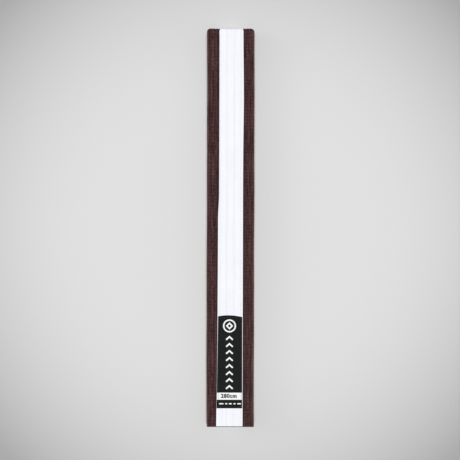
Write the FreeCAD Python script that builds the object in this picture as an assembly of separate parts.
"""Martial arts belt, folded zig-zag into a flat bundle of eight layers.

Millimetres. X runs across the belt, Y along the bundle and Z up. The origin is under the middle of the
bundle, on the surface that it lies on. Panel 1 is the top layer, with the label near its free end at -Y,
and panel 8 is the bottom layer. The folds between them lie at +Y and -Y in turn. The belt's front is the
side with the label, so it faces up on odd panels and down on even ones.

Heights inside a panel are counted from its underside. At a fold, each panel's layers turn through a
quarter circle towards the next panel, and end half a gap short of it.
"""

import FreeCAD
import Part
import math
import os

from FreeCAD import Vector

# the belt
belt_length = 2800.0
belt_width = 42.0
cover_thick = 2.6  # the quilted cover, from face to face
cover_wall = 0.5
side_wall = 1.2  # the cover's fabric, turned in along both long edges
edge_round = 1.1
corner_round = 3.0
end_hem = 4.0  # the core stops this far before a free end
core_plies = 3

# the stripe, a tape sewn to each face
tape_width = 22.5
tape_thick = 0.35
tape_setback = 0.9  # from a free end

# the quilting
thread_width = 0.5
thread_depth = 0.2
tape_rows = (-9.1, -3.2, 3.2, 9.1)
edge_rows = (-18.0, -13.9, 13.9, 18.0)

# the label
label_length = 80.5
label_width = 21.35
label_thick = 0.25
label_from_end = 16.8
label_seam_inset = 0.8
label_seam_width = 0.4
label_seam_depth = 0.12

# the bundle
layers = 8
layer_gap = 0.2
tip_clearance = 0.1  # between a fold's end and its hinge axis

thickness = cover_thick + 2 * tape_thick
pitch = thickness + layer_gap
half_gap = layer_gap / 2
fold_radius = thickness + half_gap  # outside of a fold
fold_arc = math.pi * pitch / 2  # middle of a fold
folds = layers - 1
bundle_length = (belt_length + folds * (2 * fold_radius - fold_arc)) / layers
hinge_y = bundle_length / 2
end_y = hinge_y - tip_clearance
panels = range(1, layers + 1)


def fold_of(panel, side):
    """Where the panel's fold at this end (side is +1 or -1) leads: "below", "above", or "free" if none."""
    leads_below = side == (1 if panel % 2 else -1)
    if leads_below:
        return "below" if panel < layers else "free"
    return "above" if panel > 1 else "free"


def front_is_up(panel):
    return panel % 2 == 1


# ---------------------------------------------------------------- layers that follow the folds


def line(start, end):
    return Part.LineSegment(start, end).toShape()


def fold_point(side, fold, radius, angle):
    """A point of a layer's quarter turn. The angle is 90 degrees where the flat stretch ends."""
    height = radius * math.sin(angle) - half_gap
    if fold == "above":
        height = thickness - height
    return Vector(0, side * (end_y - fold_radius + radius * math.cos(angle)), height)


def end_outline(side, fold, low, high, setback):
    """One end of a layer's outline in the YZ plane, and the Y where its flat stretch ends."""
    if fold == "free":
        y = side * (end_y - setback)
        return [line(Vector(0, y, low), Vector(0, y, high))], y
    if fold == "below":
        radii = [low + half_gap, high + half_gap]
    else:
        radii = [thickness - high + half_gap, thickness - low + half_gap]
    edges, tips = [], []
    for radius in radii:
        stop = math.asin(min(1.0, half_gap / radius))
        angles = (math.pi / 2, (math.pi / 2 + stop) / 2, stop)
        points = [fold_point(side, fold, radius, angle) for angle in angles]
        tips.append(points[-1])
        if radius > half_gap:
            edges.append(Part.Arc(*points).toShape())
    edges.append(line(*tips))
    return edges, side * (end_y - fold_radius)


def layer(panel, low, high, middle, width, setback=0.0):
    """A strip of the panel between two heights, with its middle at the given X, round both its folds."""
    plus_edges, plus_y = end_outline(1, fold_of(panel, 1), low, high, setback)
    minus_edges, minus_y = end_outline(-1, fold_of(panel, -1), low, high, setback)
    flats = [line(Vector(0, minus_y, z), Vector(0, plus_y, z)) for z in (low, high)]
    outline = Part.Wire(Part.__sortEdges__(flats + plus_edges + minus_edges))
    strip = Part.Face(outline).extrude(Vector(width, 0, 0))
    strip.translate(Vector(middle - width / 2, 0, 0))
    return strip


def round_long_edges(strip, width, radius):
    """The strip with both long sides rounded. Its long edges are those that leave its end faces alone."""
    long_edges = []
    for edge in strip.Edges:
        box = edge.BoundBox
        beside = box.XLength < 1e-6 and abs(abs(box.Center.x) - width / 2) < 1e-6
        across_end = box.YLength < 1e-6 or (box.ZLength < 1e-6 and box.YLength < fold_radius)
        if beside and not across_end:
            long_edges.append(edge)
    return strip.makeFillet(radius, long_edges)


def round_plan_corners(strip, panel, width, tip, radius):
    """The strip with the corners of its fold ends rounded, seen from above. Free ends stay square."""
    plan = Part.makeBox(width, 2 * tip, 2 * thickness, Vector(-width / 2, -tip, -thickness / 2))
    corners = [
        edge
        for edge in plan.Edges
        if edge.BoundBox.ZLength > thickness
        and fold_of(panel, math.copysign(1, edge.BoundBox.Center.y)) != "free"
    ]
    return strip.common(plan.makeFillet(radius, corners))


# ---------------------------------------------------------------- pieces of one panel


def thread_row(panel, middle, surface, above):
    """A row of stitching, let into the surface at this height from above or from below."""
    low = surface - thread_depth if above else surface
    setback = 2 * tape_setback
    return layer(panel, low, low + thread_depth, middle, thread_width, setback)


def thread_rows(panel, middles, underside, top):
    """The same rows on both faces of a piece that lies between these two heights."""
    below = [thread_row(panel, x, underside, False) for x in middles]
    above = [thread_row(panel, x, top, True) for x in middles]
    return below + above


def end_seams(panel):
    """The thread that closes the cover's turned-in end, along the middle of a free end."""
    seams = []
    for side in (1, -1):
        if fold_of(panel, side) == "free":
            length = belt_width - 4 * edge_round
            y = side * end_y - (thread_depth if side > 0 else 0)
            corner = Vector(-length / 2, y, (thickness - thread_width) / 2)
            seams.append(Part.makeBox(length, thread_depth, thread_width, corner))
    return seams


def cover(panel, threads):
    """The brown sleeve round the core, grooved for its stitching. It is open where a fold cuts it."""
    low, high = tape_thick, thickness - tape_thick
    sleeve = round_long_edges(layer(panel, low, high, 0, belt_width), belt_width, edge_round)
    sleeve = round_plan_corners(sleeve, panel, belt_width, end_y - tape_thick, corner_round)
    return sleeve.cut([core_space(panel)] + threads)


def core_space(panel):
    """The room inside the cover."""
    low, high = tape_thick + cover_wall, thickness - tape_thick - cover_wall
    width = belt_width - 2 * side_wall
    space = layer(panel, low, high, 0, width, end_hem)
    return round_plan_corners(space, panel, width, end_y - tape_thick - cover_wall, corner_round)


def core(panel):
    """The stiff plies that fill the cover, one on the other."""
    room = core_space(panel)
    ply_thick = (cover_thick - 2 * cover_wall) / core_plies
    plies = []
    for number in range(core_plies):
        low = tape_thick + cover_wall + number * ply_thick
        ply = layer(panel, low, low + ply_thick, 0, belt_width, end_hem)
        plies.append(room.common(ply))
    return plies


def tape(panel, is_top, threads):
    """The white stripe of one face, grooved for its stitching."""
    low = thickness - tape_thick if is_top else 0.0
    return layer(panel, low, low + tape_thick, 0, tape_width, tape_setback).cut(threads)


def panel_pieces(panel):
    """Every sewn piece of one layer of the bundle, in place."""
    edge_threads = thread_rows(panel, edge_rows, tape_thick, thickness - tape_thick)
    tape_threads = thread_rows(panel, tape_rows, 0.0, thickness)
    seams = end_seams(panel)
    top_tape, bottom_tape = (tape(panel, is_top, tape_threads) for is_top in (True, False))
    front, back = (top_tape, bottom_tape) if front_is_up(panel) else (bottom_tape, top_tape)
    pieces = {
        "cover": [cover(panel, edge_threads + seams)],
        "core": core(panel),
        "front_tape": [front],
        "back_tape": [back],
        "edge_stitching": edge_threads,
        "tape_stitching": tape_threads,
    }
    if seams:
        pieces["end_stitching"] = seams
    return {f"{name}_panel_{panel}": raised(shapes, panel) for name, shapes in pieces.items()}


def raised(shapes, panel):
    """The shapes as one node, lifted to their panel's place in the bundle."""
    node = Part.makeCompound([solid for shape in shapes for solid in shape.Solids])
    node.translate(Vector(0, 0, (layers - panel) * pitch))
    return node


# ---------------------------------------------------------------- the label on panel 1


def label_block(inset, low, high):
    """A box with the label's outline, drawn in by the inset, between two heights."""
    width, length = label_width - 2 * inset, label_length - 2 * inset
    return Part.makeBox(width, length, high - low, Vector(-width / 2, -end_y + label_from_end + inset, low))


def label_pieces():
    """The woven label on the top tape, and the seam round it."""
    top = thickness + label_thick
    seam_floor = top - label_seam_depth
    seam = label_block(label_seam_inset, seam_floor, top)
    seam = seam.cut(label_block(label_seam_inset + label_seam_width, seam_floor, top))
    label = label_block(0, thickness, top).cut(seam)
    return {"woven_label": raised([label], 1), "label_stitching": raised([seam], 1)}


nodes = label_pieces()
for panel in panels:
    nodes.update(panel_pieces(panel))

os.makedirs("parts", exist_ok=True)
for name, shape in nodes.items():
    shape.exportStep(f"parts/{name}.step")
    print(f"{name}: {len(shape.Solids)} solids, {shape.Volume:.1f} mm3, valid {shape.isValid()}")
print(f"bundle {bundle_length:.2f} mm long, hinges at y {hinge_y:.2f}")
print(f"panels {thickness:.2f} mm thick, {pitch:.2f} mm apart")
